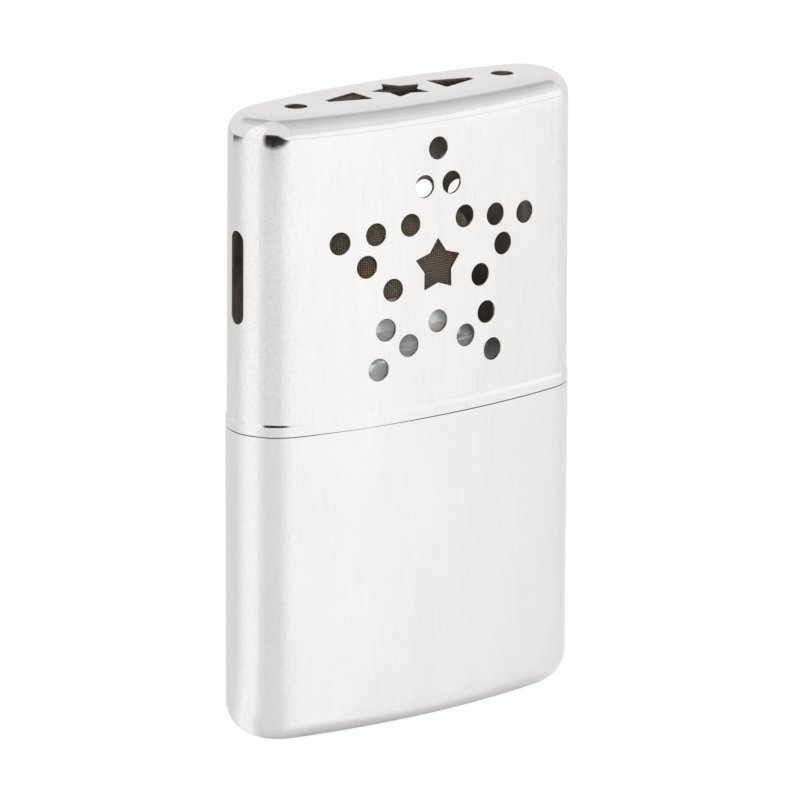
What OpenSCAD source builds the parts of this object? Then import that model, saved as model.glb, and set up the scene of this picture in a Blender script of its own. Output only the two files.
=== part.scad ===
// Catalytic hand warmer: a drawn tank packed with cotton, a burner head that
// slips on the filler neck, and a vented lid that slides over the tank collar.
// Millimetres, +Z up, origin at the centre of the flat bottom, front face at -Y.

/* [Case] */
// Width of the case at the seam
case_w = 68; // [62:0.5:76]
// Thickness of the case at its middle
case_t = 22.8; // [20.4:0.2:26]
// Radius of the two rounded ends in plan
end_r = 8.8; // [7.6:0.1:9.6]
// Height of the tank, up to the seam
tank_h = 54.5; // [48:0.5:62]
// Height of the lid, from the seam to its flat top
lid_h = 54.4; // [50:0.2:60]
// Radius between the tank's side and its bottom
bottom_r = 5.9; // [4:0.1:7]
// Radius between the lid's side and its top
lid_top_r = 4; // [3:0.1:5]
// How far the lid's side leans in over its height, for each side
lid_draft = 0.23; // [0:0.01:0.6]
// Height of the pressed rim round the lid's mouth
rim_h = 2.1; // [1.2:0.1:3]
// How far the rim stands out from the lid's side
rim_flare = 0.2; // [0.1:0.05:0.35]

/* [Sheet metal] */
// Sheet of the tank
tank_wall = 0.5; // [0.4:0.05:0.7]
// Sheet of the lid
lid_wall = 0.5; // [0.4:0.05:0.6]
// Sheet of the collar band
collar_wall = 0.4; // [0.3:0.05:0.6]
// Sheet of the tank top
top_wall = 0.5; // [0.4:0.05:0.7]
// Sheet of the filler neck
neck_wall = 0.4; // [0.3:0.05:0.6]
// Sheet of the burner skirt
skirt_wall = 0.4; // [0.3:0.05:0.5]
// Thickness of the wire gauze
gauze_wall = 0.3; // [0.2:0.05:0.4]
// Thickness of the grid under the catalyst
grid_wall = 0.3; // [0.2:0.05:0.5]
// Thickness of the ring that clamps the gauze hem
clamp_wall = 0.4; // [0.3:0.05:0.6]

/* [Fits] */
// Gap between the collar and the lid, on each side
lid_clearance = 0.12; // [0.08:0.01:0.25]
// Gap between the neck and the burner skirt, on each side
skirt_clearance = 0.12; // [0.08:0.01:0.2]
// Film of solder, or air, between two fixed sheets
solder_gap = 0.05; // [0.02:0.01:0.08]
// Air round the soft fillings
soft_gap = 0.3; // [0.2:0.05:0.4]

/* [Star of vent holes] */
// Diameter of each punched hole
vent_d = 3.85; // [3:0.05:4.4]
// Distance from the star's centre to the five outermost holes
star_tip_r = 20.3; // [18:0.1:21.5]
// Distance from the star's centre to the five innermost holes
star_notch_r = 9.6; // [8.6:0.1:10.6]
// How far the star's centre lies below the lid's top
star_drop = 28.3; // [26:0.1:30]
// Distance from the small star's centre to its tips
mid_star_tip_r = 4.8; // [4:0.05:5.4]
// Distance from the small star's centre to its inner corners
mid_star_notch_r = 2.9; // [1.8:0.05:3.2]

/* [Top vents] */
// Distance from the middle to the two round vents
top_hole_x = 21.5; // [20:0.1:23]
// Diameter of the two round vents
top_hole_d = 3.8; // [3:0.05:4.4]
// Distance from the middle to the wide end of each wedge vent
wedge_near_x = 7.8; // [7:0.1:9]
// Distance from the middle to the narrow end of each wedge vent
wedge_far_x = 14.7; // [13:0.1:16]
// Width of the wedge at its wide end
wedge_wide = 5.4; // [4:0.1:6]
// Width of the wedge at its narrow end
wedge_narrow = 0.9; // [0.4:0.1:2]
// Distance from the middle to the tips of the top star
top_star_tip_r = 4.9; // [4:0.05:5.4]
// Distance from the middle to the inner corners of the top star
top_star_notch_r = 2.8; // [1.8:0.05:3.2]

/* [Side slots] */
// Width of the slot in each end of the lid
slot_w = 3.6; // [3:0.1:4.2]
// Length of the slot
slot_l = 16; // [12:0.5:20]
// How far the slot's middle lies below the lid's top
slot_drop = 27.7; // [26:0.1:30]

/* [Tank top] */
// Height of the collar above the seam
collar_rise = 7; // [5:0.5:8]
// Length of the collar below the seam
collar_depth = 6; // [4:0.5:9]
// Depth of the tank top's turned-down edge
top_flange = 3; // [2:0.5:4]
// Radius of the tank top's outer edge
top_edge_r = 1.1; // [0.8:0.1:1.5]
// Height of the raised seat above the tank top
seat_h = 3.7; // [3:0.1:4.5]
// Width of the seat's ledge round the filler neck
seat_ledge = 2.8; // [2.2:0.1:3]
// Radius of the seat's upper edge
seat_edge_r = 1.5; // [1:0.1:1.8]

/* [Filler neck] */
// Length of the neck's oval
neck_l = 28; // [26:0.5:30]
// Width of the neck's oval
neck_t = 10; // [9:0.1:10.4]
// Height of the neck above its seat
neck_h = 7.5; // [6.6:0.1:8.5]
// How far the neck reaches down through its seat
neck_spigot = 2.7; // [1.5:0.1:3.4]
// Width of the flange soldered to the seat
neck_flange_w = 1; // [0.6:0.1:1.2]
// Thickness of the flange, with the small round that runs into the neck
neck_flange_t = 0.4; // [0.3:0.05:0.6]
// Radius of that small round
neck_root_r = 0.6; // [0.3:0.05:0.9]
// Free depth of the mouth above the fuel pad
mouth_depth = 5.7; // [5.2:0.1:6.2]

/* [Burner] */
// Height of the skirt
skirt_h = 5.5; // [4.8:0.1:6]
// Radius of the skirt's upper edge
skirt_edge_r = 0.8; // [0.6:0.1:1]
// Width of the lip that holds the gauze down
skirt_lip = 1; // [0.8:0.05:1.3]
// Height of the gauze dome above the skirt
dome_h = 12.3; // [10:0.1:13]
// Radius of the dome's upper edge
dome_edge_r = 2.8; // [2:0.1:3.4]
// Width of the clamp ring
clamp_w = 1.5; // [1:0.1:2]
// Diameter of the holes in the grid
grid_hole_d = 1.6; // [1.2:0.1:1.8]
// Distance between the holes in the grid
grid_pitch = 2.4; // [2.2:0.1:2.7]

/* [Hidden] */

FAR = 200;        // longer than anything on the part
CORE = 1;         // how far the front and back sectors of the plan overlap in the middle
EPS = 0.01;       // how far a cut runs past the face that it opens
ARC = 64;         // steps in a small fillet
END_ARC = 96;     // steps round a rounded end
FACE_ARC = 720;   // steps round the large circle of a bowed face
TIE_ARC = 2;      // degrees, each way, of the wedges that tie the plan's sectors together
STAR_POINTS = 5;
STAR_TIPS_APART = 360 / STAR_POINTS;

total_h = tank_h + lid_h;

// Lid: offsets in from the case outline, which the tank and the lid's rim share
lid_side_in = rim_flare;
lid_lean_at_collar = lid_draft * collar_rise / (lid_h - lid_top_r);
star_z = total_h - star_drop;
slot_z = total_h - slot_drop;

// Collar: its lower half fits the tank, its upper half the lid
collar_low_in = tank_wall + solder_gap;
collar_up_in = lid_side_in + lid_wall + lid_lean_at_collar + lid_clearance;
collar_bottom_z = tank_h - collar_depth;
collar_top_z = tank_h + collar_rise;

// Tank top: a tray with turned-down edge inside the collar, and a raised oval seat
top_in = collar_up_in + collar_wall + solder_gap;
seat_z = collar_top_z + seat_h;
seat_l = neck_l + 2 * seat_ledge;
seat_t = neck_t + 2 * seat_ledge;

// Filler neck
neck_bottom_z = seat_z - neck_spigot;
neck_top_z = seat_z + neck_h;

// Burner, stacked from the neck's rim upwards
clamp_z = neck_top_z + solder_gap;
grid_z = clamp_z + clamp_wall + solder_gap;
hem_z = grid_z + grid_wall + solder_gap;
skirt_top_z = hem_z + gauze_wall + solder_gap + skirt_wall;
skirt_bottom_z = skirt_top_z - skirt_h;
skirt_l = neck_l + 2 * (skirt_clearance + skirt_wall);
skirt_t = neck_t + 2 * (skirt_clearance + skirt_wall);
ring_in = skirt_wall + solder_gap;
hem_edge_r = min(skirt_edge_r - skirt_wall - solder_gap, gauze_wall - EPS);
hem_in = skirt_edge_r - hem_edge_r;
dome_in = skirt_lip + solder_gap;
dome_top_z = skirt_top_z + dome_h;

// Fillings
wad_low_in = tank_wall + soft_gap;
wad_up_in = top_in + top_wall + soft_gap;
wad_low_top_z = collar_bottom_z - soft_gap;
wad_top_z = collar_top_z - top_wall - soft_gap;
pad_bottom_z = wad_top_z + soft_gap;
pad_top_z = neck_top_z - mouth_depth;

// ---------------------------------------------------------------- plan sweeps
// A 2D profile has x = 0 on the plan's outline, the material at negative x,
// and y as height. It is carried once round the plan, filled to the middle.

// A move whose small part is kept apart, so that long numbers lose no digits
module move_exactly(x, y) {
    whole = [round(x), round(y)];
    thousandths = [round(1000 * (x - whole[0])), round(1000 * (y - whole[1]))] / 1000;
    translate(whole) translate(thousandths) translate([x, y] - whole - thousandths) children();
}

module cut_profile(radius, reach) {
    intersection() {
        move_exactly(radius, 0) children();
        translate([radius - reach, -FAR]) square([FAR, 2 * FAR]);
    }
}

// The case plan: two bowed faces that run tangent into two rounded ends. The
// angle has three decimals, which changes the thickness by under 0.001 mm and
// lets the four sectors meet on exactly the same planes. A thin wedge across each
// of those planes, just under the surface, joins the sectors at any size.
module case_sweep() {
    end_x = case_w / 2 - end_r;
    bow = case_t / 2 - end_r;
    half_angle = round(2000 * atan(bow / end_x)) / 1000;
    face_y = end_x / tan(half_angle);
    face_r = end_x / sin(half_angle) + end_r;
    for (side = [1, -1]) {
        move_exactly(side * end_x, 0) {
            rotate_extrude(start = -side * 90 + half_angle, angle = 180 - 2 * half_angle,
                    $fn = END_ARC)
                cut_profile(end_r, end_r) children();
            for (seam = [1, -1])
                rotate_extrude(start = 90 * (1 - side) + seam * (90 - half_angle) - TIE_ARC,
                        angle = 2 * TIE_ARC, $fn = END_ARC)
                    cut_profile(end_r, end_r) translate([-EPS, 0]) children();
        }
        move_exactly(0, side * face_y)
            rotate_extrude(start = -side * 90 - half_angle, angle = 2 * half_angle,
                    $fn = FACE_ARC)
                cut_profile(face_r, case_t / 2 + CORE) children();
    }
}

// An oval plan: two half circles joined by straight sides, whose length has
// three decimals for the same reason
module oval_sweep(length, width) {
    r = width / 2;
    end_x = round(1000 * (length / 2 - r)) / 1000;
    for (side = [1, -1])
        translate([side * end_x, 0, 0])
            rotate_extrude(start = -side * 90, angle = 180, $fn = END_ARC)
                cut_profile(r, r) children();
    for (flip = [0, 1])
        mirror([0, flip, 0])
            translate([-end_x, 0, 0])
                rotate([90, 0, 90])
                    linear_extrude(2 * end_x) cut_profile(r, r) children();
}

// Profile of a straight wall from z0 to z1, standing in from the outline
module wall_profile(z0, z1, in) {
    translate([-FAR - in, z0]) square([FAR, z1 - z0]);
}

// Profile of a body closed at the top, with a round of radius r and a side
// that leans in by lean on its way up to that round
module cap_profile(z0, z1, in, r, lean = 0) {
    spring_z = z1 - r;
    polygon([[-FAR, z0], [-in, z0], [-in - lean, spring_z], [-FAR, spring_z]]);
    translate([-FAR, spring_z - EPS]) square([FAR - in - lean - r, r + EPS]);
    intersection() {
        translate([-in - lean - r, spring_z]) circle(r = r, $fn = ARC);
        translate([-FAR, spring_z]) square([FAR, r]);
    }
}

// The same body the other way up, closed at the bottom
module cup_profile(z0, z1, in, r) {
    spring_z = z0 + r;
    wall_profile(spring_z, z1, in);
    translate([-FAR, z0]) square([FAR - in - r, r + EPS]);
    intersection() {
        translate([-in - r, spring_z]) circle(r = r, $fn = ARC);
        translate([-FAR, z0]) square([FAR, r]);
    }
}

// ---------------------------------------------------------------------- vents

// Points of a five-pointed star, its first tip along +Y
module star_outline(tip_r, notch_r) {
    polygon([for (i = [0 : 2 * STAR_POINTS - 1])
        let (a = 90 + i * STAR_TIPS_APART / 2, r = i % 2 == 0 ? tip_r : notch_r)
            [r * cos(a), r * sin(a)]]);
}

// Centres of the holes: on each tip, on each inner corner and halfway between
function star_corner(i) = (i % 2 == 0 ? star_tip_r : star_notch_r)
    * [cos(90 + i * STAR_TIPS_APART / 2), sin(90 + i * STAR_TIPS_APART / 2)];
function star_holes() = [for (i = [0 : 2 * STAR_POINTS - 1])
    for (p = [star_corner(i), (star_corner(i) + star_corner(i + 1)) / 2]) p];

// Punched through the front and the back face alike
module face_vents() {
    translate([0, case_t, star_z])
        rotate([90, 0, 0]) {
            for (p = star_holes())
                translate([p[0], p[1], 0]) cylinder(d = vent_d, h = 2 * case_t, $fn = 48);
            linear_extrude(2 * case_t) star_outline(mid_star_tip_r, mid_star_notch_r);
        }
}

module top_vents() {
    depth = 3 * lid_wall;
    translate([0, 0, total_h - 2 * lid_wall]) {
        linear_extrude(depth) star_outline(top_star_tip_r, top_star_notch_r);
        for (side = [1, -1]) {
            translate([side * top_hole_x, 0, 0]) cylinder(d = top_hole_d, h = depth, $fn = 48);
            linear_extrude(depth)
                polygon([[side * wedge_near_x, -wedge_wide / 2],
                    [side * wedge_far_x, -wedge_narrow / 2],
                    [side * wedge_far_x, wedge_narrow / 2],
                    [side * wedge_near_x, wedge_wide / 2]]);
        }
    }
}

module side_slots() {
    straight = slot_l - slot_w;
    for (up = [1, -1])
        translate([0, 0, slot_z + up * straight / 2])
            rotate([0, 90, 0]) cylinder(d = slot_w, h = 2 * case_w, center = true, $fn = 48);
    translate([0, 0, slot_z]) cube([2 * case_w, slot_w, straight], center = true);
}

// ----------------------------------------------------------------------- tank

module tank_shell() {
    color("#d9dadb")
        difference() {
            case_sweep() cup_profile(0, tank_h, 0, bottom_r);
            case_sweep() cup_profile(tank_wall, tank_h + EPS, tank_wall, bottom_r - tank_wall);
        }
}

// A band with a joggle at the seam, so that it fills both the tank and the lid
module lid_collar() {
    module band_profile(in, over) {
        step_z = tank_h - collar_up_in + collar_low_in;
        polygon([[-FAR, collar_bottom_z - over], [-collar_low_in - in, collar_bottom_z - over],
            [-collar_low_in - in, step_z], [-collar_up_in - in, tank_h],
            [-collar_up_in - in, collar_top_z + over], [-FAR, collar_top_z + over]]);
    }
    color("#c9cacb")
        difference() {
            case_sweep() band_profile(0, 0);
            case_sweep() band_profile(collar_wall, EPS);
        }
}

module tank_top() {
    flange_z = collar_top_z - top_flange;
    color("#c4c5c6")
        difference() {
            union() {
                case_sweep() cap_profile(flange_z, collar_top_z, top_in, top_edge_r);
                oval_sweep(seat_l, seat_t)
                    cap_profile(collar_top_z - top_wall / 2, seat_z, 0, seat_edge_r);
            }
            case_sweep() cap_profile(flange_z - EPS, collar_top_z - top_wall,
                top_in + top_wall, top_edge_r - top_wall);
            oval_sweep(seat_l, seat_t)
                cap_profile(collar_top_z - 2 * top_wall, seat_z - top_wall, top_wall,
                    seat_edge_r - top_wall);
            oval_sweep(neck_l, neck_t) wall_profile(flange_z, seat_z + EPS, -solder_gap);
        }
}

module filler_neck() {
    module outer_profile() {
        flange_top_z = seat_z + neck_flange_t;
        wall_profile(neck_bottom_z, neck_top_z, 0);
        wall_profile(seat_z, flange_top_z, -neck_flange_w);
        difference() {
            wall_profile(seat_z, flange_top_z + neck_root_r, -neck_root_r);
            translate([neck_root_r, flange_top_z + neck_root_r])
                circle(r = neck_root_r, $fn = ARC);
        }
    }
    color("#c9cacb")
        difference() {
            oval_sweep(neck_l, neck_t) outer_profile();
            oval_sweep(neck_l, neck_t)
                wall_profile(neck_bottom_z - EPS, neck_top_z + EPS, neck_wall);
        }
}

module cotton_wadding() {
    color("#f2efe6") {
        case_sweep() cup_profile(tank_wall + soft_gap, wad_low_top_z, wad_low_in,
            bottom_r - wad_low_in);
        case_sweep() wall_profile(wad_low_top_z - 1, wad_top_z, wad_up_in);
    }
}

module fuel_pad() {
    color("#e9e4d6")
        oval_sweep(neck_l, neck_t) wall_profile(pad_bottom_z, pad_top_z, neck_wall + soft_gap);
}

// --------------------------------------------------------------------- burner

module burner_skirt() {
    color("#cfd0d1")
        difference() {
            oval_sweep(skirt_l, skirt_t)
                cap_profile(skirt_bottom_z, skirt_top_z, 0, skirt_edge_r);
            oval_sweep(skirt_l, skirt_t)
                cap_profile(skirt_bottom_z - EPS, skirt_top_z - skirt_wall, skirt_wall,
                    skirt_edge_r - skirt_wall);
            oval_sweep(skirt_l, skirt_t)
                wall_profile(skirt_bottom_z, skirt_top_z + EPS, skirt_lip);
        }
}

module gauze_clamp() {
    color("#8d8a86")
        difference() {
            oval_sweep(skirt_l, skirt_t)
                wall_profile(clamp_z, clamp_z + clamp_wall, ring_in);
            oval_sweep(skirt_l, skirt_t)
                wall_profile(clamp_z - EPS, clamp_z + clamp_wall + EPS, ring_in + clamp_w);
        }
}

module mat_grid() {
    half_l = skirt_l / 2 - ring_in - clamp_w - grid_hole_d;
    half_t = skirt_t / 2 - ring_in - clamp_w - grid_hole_d / 2;
    across = floor(half_l / grid_pitch);
    deep = floor(half_t / grid_pitch);
    color("#7b7670")
        difference() {
            oval_sweep(skirt_l, skirt_t) wall_profile(grid_z, grid_z + grid_wall, ring_in);
            for (i = [-across : across])
                for (j = [-deep : deep])
                    translate([i * grid_pitch, j * grid_pitch, grid_z - EPS])
                        cylinder(d = grid_hole_d, h = grid_wall + 2 * EPS, $fn = 24);
        }
}

module burner_gauze() {
    color("#6b6159")
        difference() {
            union() {
                oval_sweep(skirt_l, skirt_t)
                    cap_profile(hem_z, hem_z + gauze_wall, hem_in, hem_edge_r);
                oval_sweep(skirt_l, skirt_t) cap_profile(hem_z, dome_top_z, dome_in, dome_edge_r);
            }
            oval_sweep(skirt_l, skirt_t)
                cap_profile(hem_z - EPS, dome_top_z - gauze_wall, dome_in + gauze_wall,
                    dome_edge_r - gauze_wall);
        }
}

module catalyst_mat() {
    mat_in = dome_in + gauze_wall + solder_gap;
    color("#2f2b28")
        oval_sweep(skirt_l, skirt_t)
            cap_profile(hem_z, dome_top_z - gauze_wall - solder_gap, mat_in,
                dome_edge_r - gauze_wall - solder_gap);
}

// ------------------------------------------------------------------------ lid

module lid_shell() {
    module skin(in, top_in) {
        side_in = lid_side_in + in;
        case_sweep() cap_profile(tank_h + rim_h - rim_flare, total_h - top_in, side_in,
            lid_top_r - in, lid_draft);
        case_sweep()
            polygon([[-FAR, tank_h - top_in], [-in, tank_h - top_in],
                [-in, tank_h + rim_h - rim_flare], [-side_in, tank_h + rim_h],
                [-FAR, tank_h + rim_h]]);
    }
    color("#dddedf")
        difference() {
            skin(0, 0);
            skin(lid_wall, lid_wall);
            face_vents();
            top_vents();
            side_slots();
        }
}

tank_shell();
lid_collar();
tank_top();
filler_neck();
cotton_wadding();
fuel_pad();
burner_skirt();
gauze_clamp();
mat_grid();
burner_gauze();
catalyst_mat();
lid_shell();
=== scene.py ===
"""A catalytic pocket hand warmer in polished nickel plate, dressed over its CAD frame.

Shapes are worked out in millimetres and reach Blender in metres. A plan is the outline of a
piece seen from above; a profile gives, for each of its points, how far it stands in from the
plan, its height, and the way its surface faces.
"""

import math

import bpy
import numpy as np
from mathutils import Matrix, Vector
from mathutils.geometry import delaunay_2d_cdt


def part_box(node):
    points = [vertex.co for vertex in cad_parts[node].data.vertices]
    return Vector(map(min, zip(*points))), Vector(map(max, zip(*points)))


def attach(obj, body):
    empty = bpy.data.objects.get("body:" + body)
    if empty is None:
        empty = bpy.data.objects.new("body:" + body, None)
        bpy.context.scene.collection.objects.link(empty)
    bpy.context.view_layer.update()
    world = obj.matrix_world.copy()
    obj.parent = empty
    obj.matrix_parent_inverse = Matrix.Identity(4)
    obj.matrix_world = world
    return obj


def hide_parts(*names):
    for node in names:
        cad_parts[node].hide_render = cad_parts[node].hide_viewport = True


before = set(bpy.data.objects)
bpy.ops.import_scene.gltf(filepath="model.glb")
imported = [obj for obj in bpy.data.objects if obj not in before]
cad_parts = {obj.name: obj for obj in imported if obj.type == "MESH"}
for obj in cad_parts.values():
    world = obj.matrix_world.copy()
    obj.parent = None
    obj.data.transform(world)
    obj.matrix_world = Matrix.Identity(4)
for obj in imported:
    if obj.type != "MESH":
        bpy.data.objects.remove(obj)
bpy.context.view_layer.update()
mm = 0.001

# ------------------------------------------------------------------ camera
# A long lens from the front left and a little above, turned by a quarter of a
# degree, as the warmer was photographed. It looks at the middle of the case.
PHOTO_WIDTH = 800
sensor_width = 36
camera_heading = math.radians(36.372)
camera_height = math.radians(15.607)
camera_roll = math.radians(0.274)
camera_distance = 1178.2
pixels_per_mm = 5.872
look_at = np.array([0.0, 0.0, 54.625])
look_right = 0.248

across = np.array([math.cos(camera_heading), -math.sin(camera_heading), 0])
ahead = np.array([math.sin(camera_heading) * math.cos(camera_height),
                  math.cos(camera_heading) * math.cos(camera_height),
                  -math.sin(camera_height)])
above = np.cross(across, ahead)
level = across * math.cos(camera_roll) + above * math.sin(camera_roll)
upright = above * math.cos(camera_roll) - across * math.sin(camera_roll)
stand = look_at + across * look_right - ahead * camera_distance

camera = bpy.data.objects.new("camera", bpy.data.cameras.new("camera"))
camera.data.sensor_width = sensor_width
camera.data.lens = pixels_per_mm * camera_distance * sensor_width / PHOTO_WIDTH
camera.data.clip_start, camera.data.clip_end = 0.05, 20
turn = Matrix([level, upright, -ahead]).transposed().to_4x4()
camera.matrix_world = Matrix.Translation(Vector(stand * mm)) @ turn
bpy.context.scene.collection.objects.link(camera)
bpy.context.scene.camera = camera


# -------------------------------------------------------------- tank shell
# The lower half of the case: one cup drawn from 0.5 mm brass sheet, with a
# round run into its flat bottom, nickel plated and polished to a soft satin.
# Its mouth is soldered over the collar band. Here and below, a flat starts a hair
# beyond the round before it.
tank_low, tank_high = (np.array(corner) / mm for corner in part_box("tank_shell"))
case_half_w, case_half_t, seam_z = tank_high
end_r = 8.8
bottom_r = 5.9
tank_wall = 0.5
tank_rim_r = 0.12
seam_gap = 0.06
hair = 0.01

end_x = case_half_w - end_r
bow_angle = 2 * math.atan((case_half_t - end_r) / end_x)
face_y = end_x / math.tan(bow_angle)
face_r = end_x / math.sin(bow_angle) + end_r
face_half_length = face_r * bow_angle
end_length = end_r * (math.pi - 2 * bow_angle)
case_round = 4 * face_half_length + 2 * end_length
case_marks = np.cumsum([0, face_half_length, end_length, 2 * face_half_length, end_length,
                        face_half_length])
case_turns = np.array([-math.pi / 2, -math.pi / 2 + bow_angle, math.pi / 2 - bow_angle,
                       math.pi / 2 + bow_angle, 1.5 * math.pi - bow_angle, 1.5 * math.pi])
arc_centres = np.array([[0, face_y], [end_x, 0], [0, -face_y], [-end_x, 0], [0, face_y]])
arc_radii = np.array([face_r, end_r, face_r, end_r, face_r])


def case_plan(along, inset):
    """Point and outward normal on the case's plan, at a distance along it from the middle
    of the front. The plan is four arcs that meet in line: centre + (radius - inset) * normal."""
    along = np.mod(along, case_round)
    angle = np.interp(along, case_marks, case_turns)
    arc = np.searchsorted(case_marks[1:-1], along, side="right")
    normal = np.stack([np.cos(angle), np.sin(angle)], axis=-1)
    reach = arc_radii[arc] - inset
    return arc_centres[arc] + reach[..., None] * normal, normal


def stations(marks, face_steps, end_steps):
    """Distances along a plan, evenly spread from each mark to the next."""
    steps = [face_steps, end_steps, 2 * face_steps, end_steps, face_steps]
    return np.concatenate([np.linspace(marks[i], marks[i + 1], n, endpoint=False)
                           for i, n in enumerate(steps)])


def rounded_profile(corners, steps=5, closed=False):
    """Rows of inset, height, and the two parts of the normal, along a path whose corners
    are rounded by their own radius. The solid lies to the right of the path, and a
    corner's arc starts its radius times tan(turn / 2) before the corner."""
    corners = np.array(corners, float)
    rows = []
    for i, (x, z, radius) in enumerate(corners):
        here = np.array([x, z])
        if not closed and i in (0, len(corners) - 1):
            other = corners[1 if i == 0 else -2][:2]
            way = (other - here if i == 0 else here - other)
            way = way / np.linalg.norm(way)
            rows.append([x, z, -way[1], way[0]])
            continue
        before = here - corners[i - 1][:2]
        after = corners[(i + 1) % len(corners)][:2] - here
        before = before / np.linalg.norm(before)
        after = after / np.linalg.norm(after)
        bend = math.atan2(before[0] * after[1] - before[1] * after[0], before @ after)
        start = here - before * radius * abs(math.tan(bend / 2))
        side = math.copysign(1, bend)
        centre = start + side * radius * np.array([-before[1], before[0]])
        for part in np.linspace(0, bend, max(2, steps)):
            c, s = math.cos(part), math.sin(part)
            facing = np.array([-before[1] * c - before[0] * s, before[0] * c - before[1] * s])
            rows.append([*(centre - side * radius * facing), *facing])
    return np.array(rows)


weld_cell = 0.001
weld_shift = 0.37


class Sheet:
    """The surfaces of one piece, gathered as points with normals, then welded where they
    meet, turned to face along their normals, and made a mesh. Points are welded that lie in
    one cell of a fine lattice, which is shifted so that round numbers are not on its lines."""

    def __init__(self):
        self.points, self.normals, self.marks, self.faces = [], [], [], []

    def add(self, points, normals, faces, mark=0.0):
        """Adds a surface. The mark is kept on its points, for the finish to read."""
        first = sum(len(p) for p in self.points)
        points = np.reshape(points, (-1, 3))
        self.points.append(points)
        self.normals.append(np.reshape(normals, (-1, 3)))
        self.marks.append(np.broadcast_to(np.reshape(mark, -1), len(points)))
        self.faces += [first + np.asarray(rows) for rows in faces]

    def grid(self, points, normals, round_u=True, round_v=False, mark=0.0):
        """Adds a grid of points (rows, columns, 3), closed round its columns or rows."""
        rows, columns = points.shape[:2]
        number = np.arange(rows * columns).reshape(rows, columns)
        if round_u:
            number = np.concatenate([number, number[:, :1]], axis=1)
        if round_v:
            number = np.concatenate([number, number[:1]], axis=0)
        quads = np.stack([number[:-1, :-1], number[:-1, 1:], number[1:, 1:], number[1:, :-1]],
                         axis=-1).reshape(-1, 4)
        self.add(points, normals, [quads], mark)

    def carry(self, plan, profile, closed=False, mark=0.0):
        """Adds a profile carried round a plan: each point is the plan's point moved in by
        the inset, at the profile's height. The plan is a function of the inset."""
        inset, height, out, up = (profile[:, i] for i in range(4))
        point, normal = plan(inset[:, None])
        shape = point.shape[:2]
        spread = np.broadcast_to
        points = np.dstack([point, spread(height[:, None], shape)])
        normals = np.dstack([-out[:, None, None] * normal, spread(up[:, None], shape)])
        self.grid(points, normals, round_v=closed, mark=spread(np.reshape(mark, (-1, 1)), shape))

    def close(self, plan, inset, height, up, steps=4):
        """Adds the flat that closes a plan: rows whose y shrinks to 0, so that the front
        and the back meet in the middle."""
        point, _ = plan(np.array([[inset]]))
        share = np.linspace(1, 0, steps)[:, None]
        points = np.dstack([np.broadcast_to(point[..., 0], (steps, point.shape[1])),
                            share * point[..., 1], np.full((steps, point.shape[1]), height)])
        self.grid(points, np.broadcast_to([0.0, 0.0, up], points.shape))

    def level(self, outline, holes, spacing, clear, height, up, mark=0.0):
        """Adds a level flat inside an outline, open where it has holes. Its inner points are
        evenly spaced, and used where they are clear of every edge."""
        low, high = outline.min(axis=0), outline.max(axis=0)
        flat, triangles = filled(outline, holes, even_points(low, high, spacing), clear)
        self.add(np.column_stack([flat, np.full(len(flat), height)]),
                 np.broadcast_to([0, 0, up], (len(flat), 3)), [triangles], mark)

    def make(self, name, finish, own_normals=True):
        """Welds the points that share a cell, drops faces with under three corners, turns
        the rest along their normals, and returns the finished object at the origin."""
        points, normals = np.concatenate(self.points), np.concatenate(self.normals)
        marks = np.concatenate(self.marks)
        cell = np.floor(points / weld_cell + weld_shift).astype(np.int64)
        _, first, place = np.unique(cell, axis=0, return_index=True, return_inverse=True)
        place = place.reshape(-1)
        summed = np.zeros((len(first), 3))
        np.add.at(summed, place, normals)
        summed /= np.maximum(np.linalg.norm(summed, axis=1, keepdims=True), 1e-9)
        points, marks = points[first], marks[first]
        kept = []
        for rows in self.faces:
            rows = place[rows]
            corners = rows.shape[1]
            fresh = rows != np.roll(rows, 1, axis=1)
            for left in (corners, corners - 1):
                whole = fresh.sum(axis=1) == left
                if left < 3 or not whole.any():
                    continue
                chosen = rows[whole][fresh[whole]].reshape(-1, left)
                a, b, c = (points[chosen[:, i]] for i in (0, 1, 2))
                facing = np.cross(b - a, points[chosen[:, -1]] - a)
                flat = np.einsum("ij,ij->i", facing, summed[chosen].sum(axis=1))
                chosen[flat < 0] = chosen[flat < 0, ::-1]
                kept += chosen.tolist()
        mesh = bpy.data.meshes.new(name)
        mesh.from_pydata((points * mm).tolist(), [], kept)
        mesh.validate()
        mesh.polygons.foreach_set("use_smooth", np.ones(len(mesh.polygons), bool))
        # The inside mark is 1 on inner faces, for their own colour. It also falls on the lid's
        # crease and on the walls of punched holes, where it is painted shade.
        inside = mesh.attributes.new("inside", "FLOAT", "POINT")
        inside.data.foreach_set("value", marks.astype(np.float32))
        if own_normals:
            mesh.normals_split_custom_set_from_vertices(summed.tolist())
        piece = bpy.data.objects.new(name, mesh)
        bpy.context.scene.collection.objects.link(piece)
        mesh.materials.append(finish)
        return piece


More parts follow.
